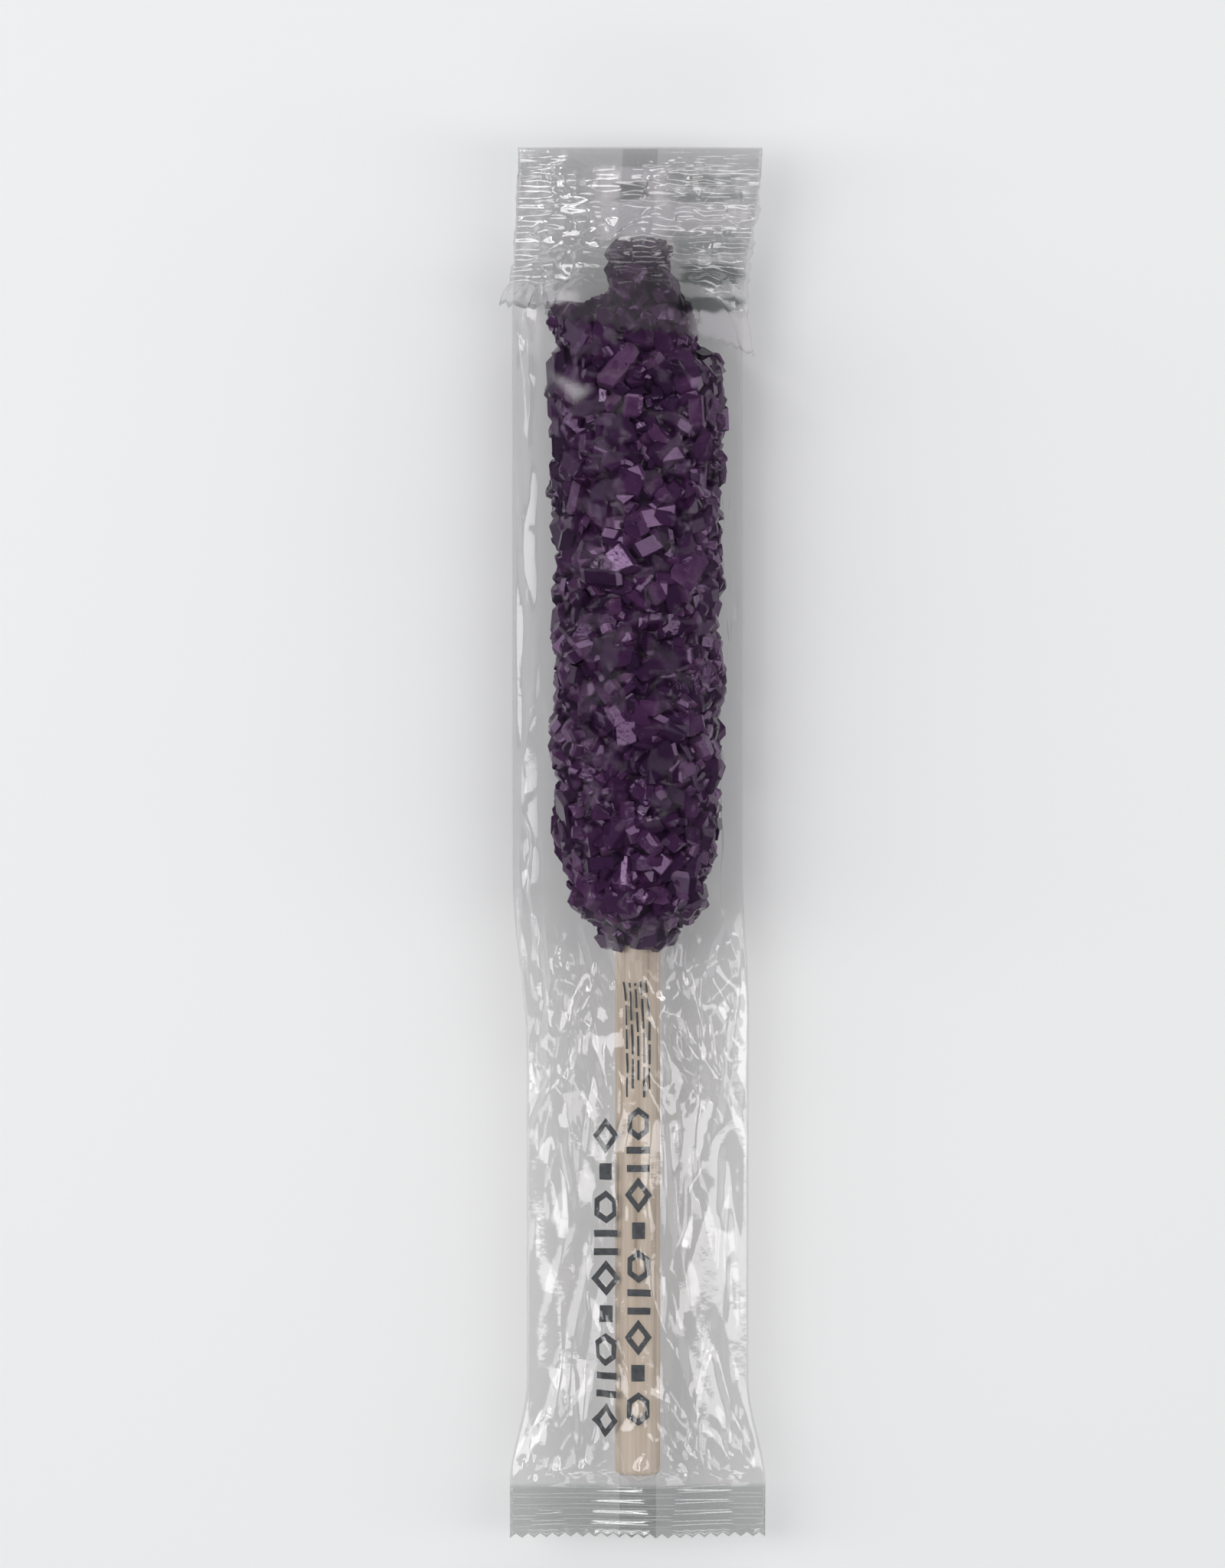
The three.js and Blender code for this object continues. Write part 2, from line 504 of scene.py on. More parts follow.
def settle(film, stations, reach_map):
    """Draws the film taut over the crystals, held at its side creases and at its two ends."""
    held = np.zeros(film.shape[:2], bool)
    for crease in (0, COLUMNS):
        for step in (-1, 0, 1):
            held[:, (crease + step) % film.shape[1]] = True
    held[(stations < TAIL_SEAL_TOP) | (stations > FOLD_LINE - 1)] = True
    for _ in range(SETTLE_ROUNDS):
        mean = np.roll(film, 1, axis=1) + np.roll(film, -1, axis=1)
        mean[1:-1] += film[2:] + film[:-2]
        mean[1:-1] /= 4
        moved = mean[1:-1][:, :, (0, 2)]
        film[1:-1, :, ::2] = np.where(held[1:-1, :, None], film[1:-1, :, ::2], moved)
        keep_clear(film, stations, reach_map)


def film_normals(film):
    """Outward directions of a grid of rings."""
    across = np.roll(film, -1, axis=1) - np.roll(film, 1, axis=1)
    lengthwise = np.gradient(film, axis=0)
    normals = np.cross(across, lengthwise)
    return normals / np.maximum(np.linalg.norm(normals, axis=2, keepdims=True), 1e-9)


# How steeply a crease rises at its ends
END_STEEPNESS = 1.6


def crease_field(rng, u, s, kinds):
    """Height of many sharp creases over a grid of places across and along one side of the film."""
    field = np.zeros_like(s)
    for kind in kinds:
        for _ in range(kind["count"]):
            direction = math.radians(rng.normal(kind["direction"], kind["spread"]))
            middle_u = rng.uniform(*kind.get("across", (-18, 18)))
            middle_s = rng.uniform(*kind["stations"])
            half_length = rng.uniform(*kind["length"])
            widths = rng.uniform(*kind["width"], 2)
            height = rng.uniform(*kind["height"]) * (1 if rng.uniform() < kind["ridges"] else -1)
            du, ds = u - middle_u, s - middle_s
            along_it = du * math.cos(direction) + ds * math.sin(direction)
            beside = ds * math.cos(direction) - du * math.sin(direction)
            tent = 1 - np.where(beside > 0, beside / widths[0], -beside / widths[1])
            end = (1 - np.abs(along_it) / half_length) * END_STEEPNESS
            field += height * np.clip(tent, 0, 1) * smooth(end)
    return field


# Creases by place: short ones and long ones over the candy, others at its left and right sides, in
# the loose film above it, in the drawn-in film below it, beside the handle, and at the tail. A
# direction of 90 degrees runs along the stick, and ridges is the share that stand out.
CREASES = [
    {"count": 60, "stations": (72, 150), "direction": 90, "spread": 30, "length": (2.5, 9),
     "width": (0.7, 1.9), "height": (0.06, 0.28), "ridges": 1.0},
    {"count": 14, "stations": (80, 150), "direction": 90, "spread": 9, "length": (9, 26),
     "width": (0.9, 2.2), "height": (0.15, 0.5), "ridges": 1.0},
    {"count": 26, "stations": (74, 152), "across": (-18, -13), "direction": 90, "spread": 7,
     "length": (6, 22), "width": (0.6, 1.6), "height": (0.12, 0.45), "ridges": 0.6},
    {"count": 26, "stations": (74, 152), "across": (13, 18), "direction": 90, "spread": 7,
     "length": (6, 22), "width": (0.6, 1.6), "height": (0.12, 0.45), "ridges": 0.6},
    {"count": 90, "stations": (146, 169), "direction": 80, "spread": 55, "length": (2.5, 9),
     "width": (0.8, 2.4), "height": (0.15, 0.6), "ridges": 0.6},
    {"count": 60, "stations": (48, 74), "direction": 90, "spread": 28, "length": (4, 14),
     "width": (0.9, 2.6), "height": (0.2, 0.8), "ridges": 0.6},
    {"count": 70, "stations": (4, 60), "direction": 90, "spread": 14, "length": (5, 22),
     "width": (1.0, 3.0), "height": (0.15, 0.7), "ridges": 0.55},
    {"count": 46, "stations": (-2, 9), "direction": 90, "spread": 24, "length": (2.5, 7),
     "width": (0.7, 1.8), "height": (0.15, 0.5), "ridges": 0.55},
]

# The crimps of both ends, how dark the tail's seal is, and the teeth of a cut end
CRIMP_PITCH = 1.45
CRIMP_HEIGHT = 0.17
TAIL_TONE = 0.6
TOOTH_PITCH = 1.85
TOOTH_DEPTH = 0.6


def teeth(u):
    """The zigzag of a cut end across the film."""
    return TOOTH_DEPTH * np.abs((u / TOOTH_PITCH) % 1 - 0.5) * 2


def side_columns(front):
    """Indices of one side's columns in a ring, from the left crease to the right."""
    if front:
        return np.arange(COLUMNS + 1)
    return np.concatenate([[0], np.arange(2 * COLUMNS - 1, COLUMNS - 1, -1)])


def crease_sides(film, stations, rng):
    """Adds creases to both sides of the settled film, along its outward directions."""
    normals = film_normals(film)
    u, s = np.meshgrid(ACROSS, stations)
    at_sides = smooth((FLAT_HALF_WIDTH - np.abs(u)) / 2.2)
    at_ends = smooth((s - TAIL_SEAL_TOP) / 2) * smooth((FOLD_LINE - 0.5 - s) / 3)
    for front in (True, False):
        columns = side_columns(front)
        field = crease_field(rng, u, s, CREASES) * at_sides * at_ends
        film[:, columns] += normals[:, columns] * field[:, :, None]


def crimp_tail(film, stations):
    """Presses ridges across the tail's seal, waves it a little, and cuts its end in teeth."""
    wave_height, cut_length = 0.9, 1.4
    in_seal = smooth(TAIL_SEAL_TOP - stations) * smooth((stations - TAIL_EDGE) / 0.8)
    ridges = CRIMP_HEIGHT * in_seal * np.sin(2 * math.pi * stations / CRIMP_PITCH)
    loose = smooth((4 - stations) / 12)
    wave = wave_height * loose[:, None] * np.sin(0.27 * ACROSS + 0.6)[None, :]
    pull = np.clip(1 - (stations - TAIL_EDGE) / cut_length, 0, 1)
    for front in (True, False):
        columns = side_columns(front)
        lift = ridges[:, None] + wave
        if not front:
            lift = lift[:, 1:-1]
            columns = columns[1:-1]
        film[:, columns, 2] += lift
        tooth = teeth(ACROSS if front else ACROSS[1:-1])
        film[:, columns, 1] += pull[:, None] * tooth[None, :]


# Painted highlights: pale places on the film, drawn as cloudy film, as triangles of corners across
# X and along the stick
PAINTED_HIGHLIGHT_PATCHES = [
    [(-11.8, CANDY_TIP - 16.7), (-8.0, CANDY_TIP - 21.1), (-5.6, CANDY_TIP - 19.2)],
    [(-14.2, CANDY_TIP - 8.8), (-12.9, CANDY_TIP - 16.7), (-12.3, CANDY_TIP - 8.8)],
]
PAINTED_HIGHLIGHT_HAZE = 0.36

# How cloudy clean film is, and how much of that and of its shine is left close on the sugar
CLEAN_HAZE = 0.012
CANDY_HAZE = 0.15
CANDY_SHINE = 0.08


def inside_triangle(x, station, corners):
    """How far inside a triangle each place is, as a soft share from 0 to 1."""
    share = np.ones_like(x)
    for (x0, s0), (x1, s1) in zip(corners, corners[1:] + corners[:1]):
        length = math.hypot(x1 - x0, s1 - s0)
        beside = ((x1 - x0) * (station - s0) - (s1 - s0) * (x - x0)) / length
        share = share * smooth(beside / 1.5 + 0.35)
    return share


def on_candy(film):
    """Where the film lies close on the sugar, as a share from 0 to 1: less widely at the tip."""
    x, station = film[:, :, 0], film[:, :, 1] + HALFWAY
    lengthwise = smooth((station - CANDY_BOTTOM) / 6) * smooth((CANDY_TIP + 1 - station) / 5)
    half_width = 8 + 6 * smooth((CANDY_TIP - 5 - station) / 5)
    return lengthwise * smooth((half_width - np.abs(x)) / 2)


def film_haze_and_highlights(film):
    """How cloudy the film is at each point, with painted highlights as pale patches on its front.
    """
    x, station = film[:, :, 0], film[:, :, 1] + HALFWAY
    haze_and_highlight = CLEAN_HAZE * (1 - (1 - CANDY_HAZE) * on_candy(film))
    front = film[:, :, 2] > AXIS_HEIGHT - 2
    # Painted highlights: pale patches on the film's front, drawn as cloudy film
    for corners in PAINTED_HIGHLIGHT_PATCHES:
        haze_and_highlight += PAINTED_HIGHLIGHT_HAZE * front * inside_triangle(x, station, corners)
    return haze_and_highlight


def film_shine(film):
    """How strongly the film mirrors: less where it lies close on the sugar."""
    return 1 - (1 - CANDY_SHINE) * on_candy(film)


def tail_seal(stations):
    """How dark the film is at each station, as it is where the tail's seal is pressed."""
    return TAIL_TONE * smooth((TAIL_SEAL_TOP + 0.3 - stations) / 0.8)


def make_film(material, contents):
    """The film sleeve. Gives back its rings of points and their stations."""
    rng = np.random.default_rng(CREASE_SEED)
    stations = film_stations()
    reach_map = ReachMap(contents)
    film = first_film(stations)
    settle(film, stations, reach_map)
    crease_sides(film, stations, rng)
    keep_clear(film, stations, reach_map)
    crimp_tail(film, stations)
    faces = grid_faces(len(stations), film.shape[1], True)
    piece = add_piece("film_sleeve", film, faces, material)
    add_attribute(piece, "seal", "POINT", np.repeat(tail_seal(stations), film.shape[1]))
    add_attribute(piece, "haze_and_highlight", "POINT", film_haze_and_highlights(film))
    add_attribute(piece, "shine", "POINT", film_shine(film))
    return film, stations


# The flap: how far it hovers over the film at its fold and at its edge, how many rows it has,
# where it is crimped, and how far apart its layers are there and below that
FLAP_GAPS = (0.3, 0.75)
FLAP_ROWS = 110
FLAP_CRIMP = (0.2, 18.2)
LAYER_GAP = 0.12
OPEN_GAP = 0.3

# Its waves, the ridge where its crimp ends, and how far its lower edge curls up
WAVE_PITCH = 4.2
WAVE_HEIGHT = 0.28
RIDGE_HEIGHT = 0.35
CURL_HEIGHT = 1.0

# How dark its crimp and its cut edge are, how shiny its crimp is over the sugar, and how cloudy it
# is all over
CRIMP_TONE = 0.1
EDGE_TONE = 0.75
FLAP_SHINE = 0.28
FLAP_HAZE = 0.035

# Painted shade on the flap: darker patches, with their ends across, their ends below the fold, and
# how dark they are
FLAP_PAINTED_SHADE = [
    (-17.0, -7.0, 1.3, 9.2, 0.22),
    (-2.8, 0.9, 4.2, 6.7, 0.85),
    (3.6, 12.8, 3.2, 4.7, 0.6),
    (2.8, 13.4, 5.6, 6.7, 0.6),
    (4.4, 13.2, 10.6, 13.4, 0.55),
    (5.4, 13.0, 14.6, 17.3, 1.0),
    (5.0, 13.2, 18.9, 20.8, 1.0),
]

# Cloudy places of the flap: their ends, and how cloudy they are. They are past the candy's tip,
# beside that at the right, and at the left and right of the flap's lower edge; those two at the
# lower edge are painted highlights.
FLAP_CLOUDS_AND_HIGHLIGHTS = [
    (-5.2, 4.4, 2.4, 11.4, 0.18),
    (4.4, 14.0, 7.0, 10.2, 0.12),
    (-12.4, -7.8, 18.9, 20.1, 0.25),
    (7.0, 19.0, 20.9, 30.0, 0.2),
]
FLAP_CREASES = [
    {"count": 34, "stations": (0, 24), "direction": 90, "spread": 50, "length": (2, 9),
     "width": (0.7, 2.2), "height": (0.12, 0.45), "ridges": 0.8},
]


def flap_bed(film, stations, down):
    """The sleeve's front under the flap, smoothed, and its outward directions. The film's side
    creases take their directions from the columns near them."""
    rounds = 14
    columns = side_columns(True)
    normals = film_normals(film)
    bed = np.empty((*down.shape, 3))
    away = np.empty_like(bed)
    for place, column in enumerate(columns):
        wanted = FOLD_LINE - down[:, place]
        for axis in range(3):
            bed[:, place, axis] = np.interp(wanted, stations, film[:, column, axis])
            away[:, place, axis] = np.interp(wanted, stations, normals[:, column, axis])
    away[:, (0, -1)] = away[:, (4, -5)]
    away /= np.linalg.norm(away, axis=2, keepdims=True)
    for _ in range(rounds):
        around = bed[2:, 1:-1] + bed[:-2, 1:-1] + bed[1:-1, 2:] + bed[1:-1, :-2]
        bed[1:-1, 1:-1] = 0.2 * (bed[1:-1, 1:-1] + around)
    return bed, away


def flap_lift(down, share, in_crimp):
    """How far the flap stands off the sleeve, with its curled edge, its creases, and its crimps
    and waves, which are strongest at its right."""
    rng = np.random.default_rng(FLAP_SEED)
    rightward = smooth((ACROSS + 2) / 9)
    strength = 0.35 + 0.55 * rightward + 0.3 * smooth((-ACROSS - 11) / 4)
    ridges = CRIMP_HEIGHT * strength * np.sin(2 * math.pi * down / CRIMP_PITCH)
    waves = WAVE_HEIGHT * strength * np.sin(2 * math.pi * down / WAVE_PITCH + 0.12 * ACROSS)
    ridge = RIDGE_HEIGHT * rightward * np.clip(1 - np.abs(down - FLAP_CRIMP[1]) / 0.7, 0, 1)
    u = np.broadcast_to(ACROSS, down.shape)
    creases = crease_field(rng, u, down, FLAP_CREASES) * smooth(down / 3)
    curl = CURL_HEIGHT * smooth((share - 0.72) / 0.28) * smooth((np.abs(ACROSS) - 5) / 14)
    gap = FLAP_GAPS[0] + (FLAP_GAPS[1] - FLAP_GAPS[0]) * smooth(share) + curl
    return gap + (ridges + waves) * in_crimp + ridge + np.maximum(creases, -0.2)


def soft_box(x, down, box, softness):
    """How far inside a box each place is, from 0 to 1, with sides as soft as given."""
    left, right, top, bottom = box
    share = smooth((x - left) / softness[0] + 0.5) * smooth((right - x) / softness[0] + 0.5)
    share = share * smooth((down - top) / softness[1] + 0.5)
    return share * smooth((bottom - down) / softness[1] + 0.5)


def flap_painted_shade(x, down):
    """Painted shade on the flap at each point: how dark it is, in patches whose sides wander a
    little.
    """
    x = x + 0.5 * np.sin(1.9 * down) + 0.3 * np.sin(4.7 * down + 1)
    down = down + 0.22 * np.sin(0.55 * x) + 0.12 * np.sin(1.7 * x + 0.8)
    tone = np.zeros_like(x)
    for *box, dark in FLAP_PAINTED_SHADE:
        tone = np.maximum(tone, dark * soft_box(x, down, box, (1.4, 0.5)))
    return tone


def flap_haze_and_highlights(flap, down):
    """How cloudy the flap is at each point: less over the sugar, more in its cloudy places, and
    pale in its painted highlights.
    """
    haze_and_highlight = CLEAN_HAZE + FLAP_HAZE * (1 - 0.7 * on_candy(flap))
    for *box, paleness in FLAP_CLOUDS_AND_HIGHLIGHTS:
        haze_and_highlight = haze_and_highlight + paleness * soft_box(flap[:, :, 0], down, box, (1.8, 0.7))
    return haze_and_highlight


def flap_looks(flap, down, in_crimp):
    """The numbers for the flap's material at each point: how dark it is, with its painted shade;
    how cloudy, with its painted highlights; and how shiny.
    """
    painted_shade = flap_painted_shade(flap[:, :, 0], down)
    edge = EDGE_TONE * smooth((down - down[-1] + 0.55) / 0.3)
    return {
        # The seal tone also carries the painted shade, which thins the cloud where it lies
        "seal": np.maximum(np.maximum(CRIMP_TONE * in_crimp, painted_shade), edge),
        "haze_and_highlight": flap_haze_and_highlights(flap, down) * (1 - 0.7 * painted_shade),
        "shine": 1 - (1 - FLAP_SHINE * in_crimp) * on_candy(flap),
    }


def make_flap(material, film, stations):
    """The upper end of the sleeve, folded forward over the candy: two layers, crimped together."""
    edge = FLAP_EDGE - FLAP_SLOPE * film[-1, side_columns(True), 0]
    share = np.linspace(0, 1, FLAP_ROWS)[:, None]
    down = share * (FOLD_LINE - edge)[None, :]
    bed, away = flap_bed(film, stations, down)
    in_crimp = smooth((down - FLAP_CRIMP[0]) / 0.8) * smooth((FLAP_CRIMP[1] - down) / 0.8)
    lift = flap_lift(down, share, in_crimp)
    open_edge = smooth((down - FLAP_CRIMP[1]) / 5) * smooth((19 - np.abs(ACROSS)) / 6)
    inner = bed + away * lift[:, :, None]
    outer = bed + away * (lift + LAYER_GAP + OPEN_GAP * open_edge)[:, :, None]
    for layer in (inner, outer):
        layer[:, :, 1] += np.clip((share - 0.94) / 0.06, 0, 1) * teeth(ACROSS)
    rings = np.concatenate([outer, inner[:, -2:0:-1]], axis=1)
    turned = fold_rows(film, rings[0])
    rings = np.concatenate([turned, rings])
    faces = grid_faces(len(rings), rings.shape[1], True)
    piece = add_piece("film_flap", rings, faces, material)
    for name, values in flap_looks(outer, down, in_crimp).items():
        values = np.concatenate([values, values[:, -2:0:-1]], axis=1)
        values = np.concatenate([np.zeros((len(turned), values.shape[1])), values])
        add_attribute(piece, name, "POINT", values)


def fold_rows(film, flap_start):
    """Rows that carry the sleeve's two layers round the fold into the flap's."""
    back = film[-1, side_columns(False)]
    front = film[-1, side_columns(True)]
    below = np.concatenate([back, front[-2:0:-1]])
    rows = []
    for turn in np.linspace(0, math.pi, 7)[:-1]:
        share = (1 - math.cos(turn)) / 2
        row = below + (flap_start - below) * share
        radius = np.abs(flap_start[:, 2] - below[:, 2]) / 2
        row[:, 1] += radius * math.sin(turn)
        rows.append(row)
    return np.array(rows)


def make_lap_seam(material, film, stations):
    """The lengthwise lap of the film down the middle of its back."""
    half_columns = 6
    lap_gap = 0.09
    columns = side_columns(False)
    middle = COLUMNS // 2
    wanted = columns[middle - half_columns : middle + half_columns + 1]
    normals = film_normals(film)[:, wanted]
    strip = film[:, wanted] + normals * lap_gap
    strip[:, :, 2] = np.maximum(strip[:, :, 2], TABLE_GAP)
    faces = [tuple(reversed(face)) for face in grid_faces(len(stations), len(wanted), False)]
    piece = add_piece("film_lap_seam", strip, faces, material)
    add_attribute(piece, "seal", "POINT", np.repeat(tail_seal(stations), len(wanted)))
    add_attribute(piece, "haze_and_highlight", "POINT", film_haze_and_highlights(strip))
    add_attribute(piece, "shine", "POINT", np.ones(strip.shape[:2]))


# The print: two rows of plain marks, one over the handle and one to its left, and a block of fine
# broken lines above the one over the handle
PRINT_ROWS = (-5.5, 0.1)
PRINT_STATIONS = (7.2, 46.0)
PRINT_PITCH = 4.6
PRINT_DEPTH = 0.07
ROW_STAGGER = 1.6
MARK_RADIUS = 2.15
MARK_STROKE = 0.9
LINE_BLOCK = (49.0, 64.0)
LINE_COUNT = 5
LINE_PITCH = 0.95
LINE_WIDTH = 0.36
DASH_GAP = 0.5


def ring_mark(u, s, sides, size, stroke, turn):
    """A plain outlined shape, as two loops and the faces between them."""
    per_side = 4
    loops = []
    for radius in (size, size - stroke):
        corners = [
            (radius * math.cos(turn + 2 * math.pi * k / sides),
             radius * math.sin(turn + 2 * math.pi * k / sides))
            for k in range(sides + 1)
        ]
        loop = []
        for a, b in zip(corners, corners[1:]):
            for step in range(per_side):
                loop.append((
                    u + a[0] + (b[0] - a[0]) * step / per_side,
                    s + a[1] + (b[1] - a[1]) * step / per_side,
                ))
        loops.append(loop)
    return loops[0] + loops[1], grid_faces(2, len(loops[0]), True)


def bar_mark(u, s, width, length):
    """A plain bar."""
    across = np.linspace(u - width / 2, u + width / 2, max(2, int(width / 0.5) + 1))
    lengthwise = np.linspace(s - length / 2, s + length / 2, max(2, int(length / 0.5) + 1))
    points = [(a, b) for b in lengthwise for a in across]
    return points, grid_faces(len(lengthwise), len(across), False)


def pair_mark(u, s):
    """Two plain bars, one over the other."""
    length = 1.8 * MARK_RADIUS
    offset = 0.55 * MARK_RADIUS
    return [bar_mark(u, s + side * offset, length, MARK_STROKE) for side in (-1, 1)]


def print_mark(kind, u, s):
    """One mark of the print, out of four kinds that take turns."""
    if kind == 0:
        return [ring_mark(u, s, 4, 1.08 * MARK_RADIUS, 1.25 * MARK_STROKE, 0)]
    if kind == 1:
        return pair_mark(u, s)
    if kind == 2:
        return [ring_mark(u, s, 6, MARK_RADIUS, MARK_STROKE, math.pi / 6)]
    return [bar_mark(u, s, MARK_RADIUS, MARK_RADIUS)]


def print_shapes():
    """Every mark of the print, as flat points across and along the film with their faces."""
    shapes = []
    count = int((PRINT_STATIONS[1] - PRINT_STATIONS[0]) / PRINT_PITCH) + 1
    for row, u in enumerate(PRINT_ROWS):
        for step in range(count):
            place = PRINT_STATIONS[0] + PRINT_PITCH * step + ROW_STAGGER * row
            shapes += print_mark((step + 2 * row) % 4, u, place)
    for line in range(LINE_COUNT):
        u = PRINT_ROWS[1] + LINE_PITCH * (line - LINE_COUNT // 2)
        start = LINE_BLOCK[0] + 1.1 * (line % 3)
        while start < LINE_BLOCK[1]:
            length = min(2.6 + 1.3 * (line % 2), LINE_BLOCK[1] - start)
            shapes.append(bar_mark(u, start + length / 2, LINE_WIDTH, length))
            start += length + DASH_GAP
    return shapes


def grid_point(grid, row, column):
    """The point of a grid of points at a place between its rows and columns."""
    r, c = int(row), int(column)
    rs, cs = row - r, column - c
    low = grid[r, c] * (1 - cs) + grid[r, c + 1] * cs
    high = grid[r + 1, c] * (1 - cs) + grid[r + 1, c + 1] * cs
    return low * (1 - rs) + high * rs


def make_print(material, film, stations):
    """The marks, printed on the inside of the film's front."""
    columns = side_columns(True)
    sheet = film[:, columns] - film_normals(film)[:, columns] * PRINT_DEPTH
    corners, faces = [], []
    for points, shape_faces in print_shapes():
        start = len(corners)
        for u, s in points:
            column = (u + FLAT_HALF_WIDTH) / (2 * FLAT_HALF_WIDTH) * COLUMNS
            row = np.interp(s, stations, np.arange(len(stations)))
            corners.append(grid_point(sheet, row, column))
        faces += [tuple(start + corner for corner in face) for face in shape_faces]
    add_piece("print_marks", corners, faces, material)


# Materials


def new_material(name):
    """A material with nodes: the material, its nodes, its links and its Principled shader."""
    material = bpy.data.materials.new(name)
    material.use_nodes = True
    tree = material.node_tree
    return material, tree.nodes, tree.links, tree.nodes["Principled BSDF"]


def set_inputs(node, values):
    """Sets a node's sockets by their names."""
    for name, value in values.items():
        node.inputs[name].default_value = value


def scaled_noise(nodes, links, scale, detail, stretch=(1, 1, 1)):
    """The socket of a noise in the object's own place, stretched along its axes."""
    place = nodes.new("ShaderNodeTexCoord")
    mapping = nodes.new("ShaderNodeMapping")
    noise = nodes.new("ShaderNodeTexNoise")
    set_inputs(mapping, {"Scale": stretch})
    set_inputs(noise, {"Scale": scale, "Detail": detail})
    links.new(place.outputs["Object"], mapping.inputs["Vector"])
    links.new(mapping.outputs["Vector"], noise.inputs["Vector"])
    return noise.outputs["Fac"]


def read_attribute(nodes, name):
    """The socket of a number that a piece carries on its points or faces."""
    node = nodes.new("ShaderNodeAttribute")
    node.attribute_name = name
    return node.outputs["Fac"]


def calculate(nodes, links, operation, *terms):
    """The socket of a sum on sockets and plain numbers."""
    node = nodes.new("ShaderNodeMath")
    node.operation = operation
    for place, term in zip(node.inputs, terms):
        if isinstance(term, float):
            place.default_value = term
        else:
            links.new(term, place)
    return node.outputs[0]


def mix_shaders(nodes, links, share, first, second):
    """The socket of two shaders mixed, with the second one's share."""
    mixed = nodes.new("ShaderNodeMixShader")
    for place, source in zip(mixed.inputs, (share, first, second)):
        links.new(source, place)
    return mixed.outputs[0]


def ramp(nodes, links, source, stops):
    """The socket of a colour ramp with (place, colour) stops, fed by another socket."""
    node = nodes.new("ShaderNodeValToRGB")
    while len(node.color_ramp.elements) < len(stops):
        node.color_ramp.elements.new(0.5)
    for element, (place, colour) in zip(node.color_ramp.elements, stops):
        element.position = place
        element.color = (*colour, 1)
    links.new(source, node.inputs["Fac"])
    return node.outputs["Color"]


def add_bump(nodes, links, shader, source, strength, distance):
    """A bump on a shader, with its depth in metres."""
    bump = nodes.new("ShaderNodeBump")
    set_inputs(bump, {"Strength": strength, "Distance": distance})
    links.new(source, bump.inputs["Height"])
    links.new(bump.outputs["Normal"], shader.inputs["Normal"])


def crystal_material():
    """Deep purple sugar that lets some light through, each crystal with its own tone."""
    material, nodes, links, shader = new_material("purple_sugar_crystal")
    tint_share, cloud_share = 0.6, 0.45
    tint = calculate(nodes, links, "MULTIPLY", read_attribute(nodes, "tint"), tint_share)
    clouds = scaled_noise(nodes, links, scale=420, detail=3)
    tone = calculate(nodes, links, "MULTIPLY_ADD", clouds, cloud_share, tint)
    colour = ramp(nodes, links, tone, [
        (0.12, (0.016, 0.003, 0.024)),
        (0.45, (0.048, 0.012, 0.062)),
        (0.72, (0.098, 0.030, 0.112)),
        (0.92, (0.215, 0.105, 0.225)),
    ])
    links.new(colour, shader.inputs["Base Color"])
    set_inputs(shader, {
        "Roughness": 0.1,
        "IOR": 1.54,
        "Specular Tint": (0.82, 0.56, 0.90, 1),
        "Transmission Weight": 0.4,
    })
    grit = scaled_noise(nodes, links, scale=1500, detail=2)
    add_bump(nodes, links, shader, grit, strength=0.25, distance=0.0001)
    return material


def core_material():
    """The darker grown-together sugar behind the crystals."""
    material, nodes, links, shader = new_material("purple_sugar_core")
    clouds = scaled_noise(nodes, links, scale=300, detail=4)
    colour = ramp(nodes, links, clouds, [
        (0.3, (0.010, 0.003, 0.014)),
        (0.7, (0.032, 0.010, 0.038)),
    ])
    links.new(colour, shader.inputs["Base Color"])
    set_inputs(shader, {
        "Roughness": 0.25,
        "Specular IOR Level": 0.3,
        "Specular Tint": (0.88, 0.72, 0.92, 1),
    })
    add_bump(nodes, links, shader, clouds, strength=0.6, distance=0.0006)
    return material


def wood_material():
    """Pale sanded wood with fine lengthwise grain."""
    material, nodes, links, shader = new_material("pale_wood")
    streak_share = 0.35
    grain = scaled_noise(nodes, links, scale=900, detail=6, stretch=(1, 0.035, 1))
    streaks = scaled_noise(nodes, links, scale=2600, detail=2, stretch=(1, 0.012, 1))
    tone = calculate(nodes, links, "MULTIPLY_ADD", streaks, streak_share, grain)
    colour = ramp(nodes, links, tone, [
        (0.44, (0.40, 0.310, 0.235)),
        (0.58, (0.60, 0.490, 0.385)),
        (0.70, (0.69, 0.575, 0.465)),
        (0.90, (0.79, 0.680, 0.565)),
    ])
    links.new(colour, shader.inputs["Base Color"])
    set_inputs(shader, {"Roughness": 0.62})
    add_bump(nodes, links, shader, grain, strength=0.4, distance=0.0002)
    return material


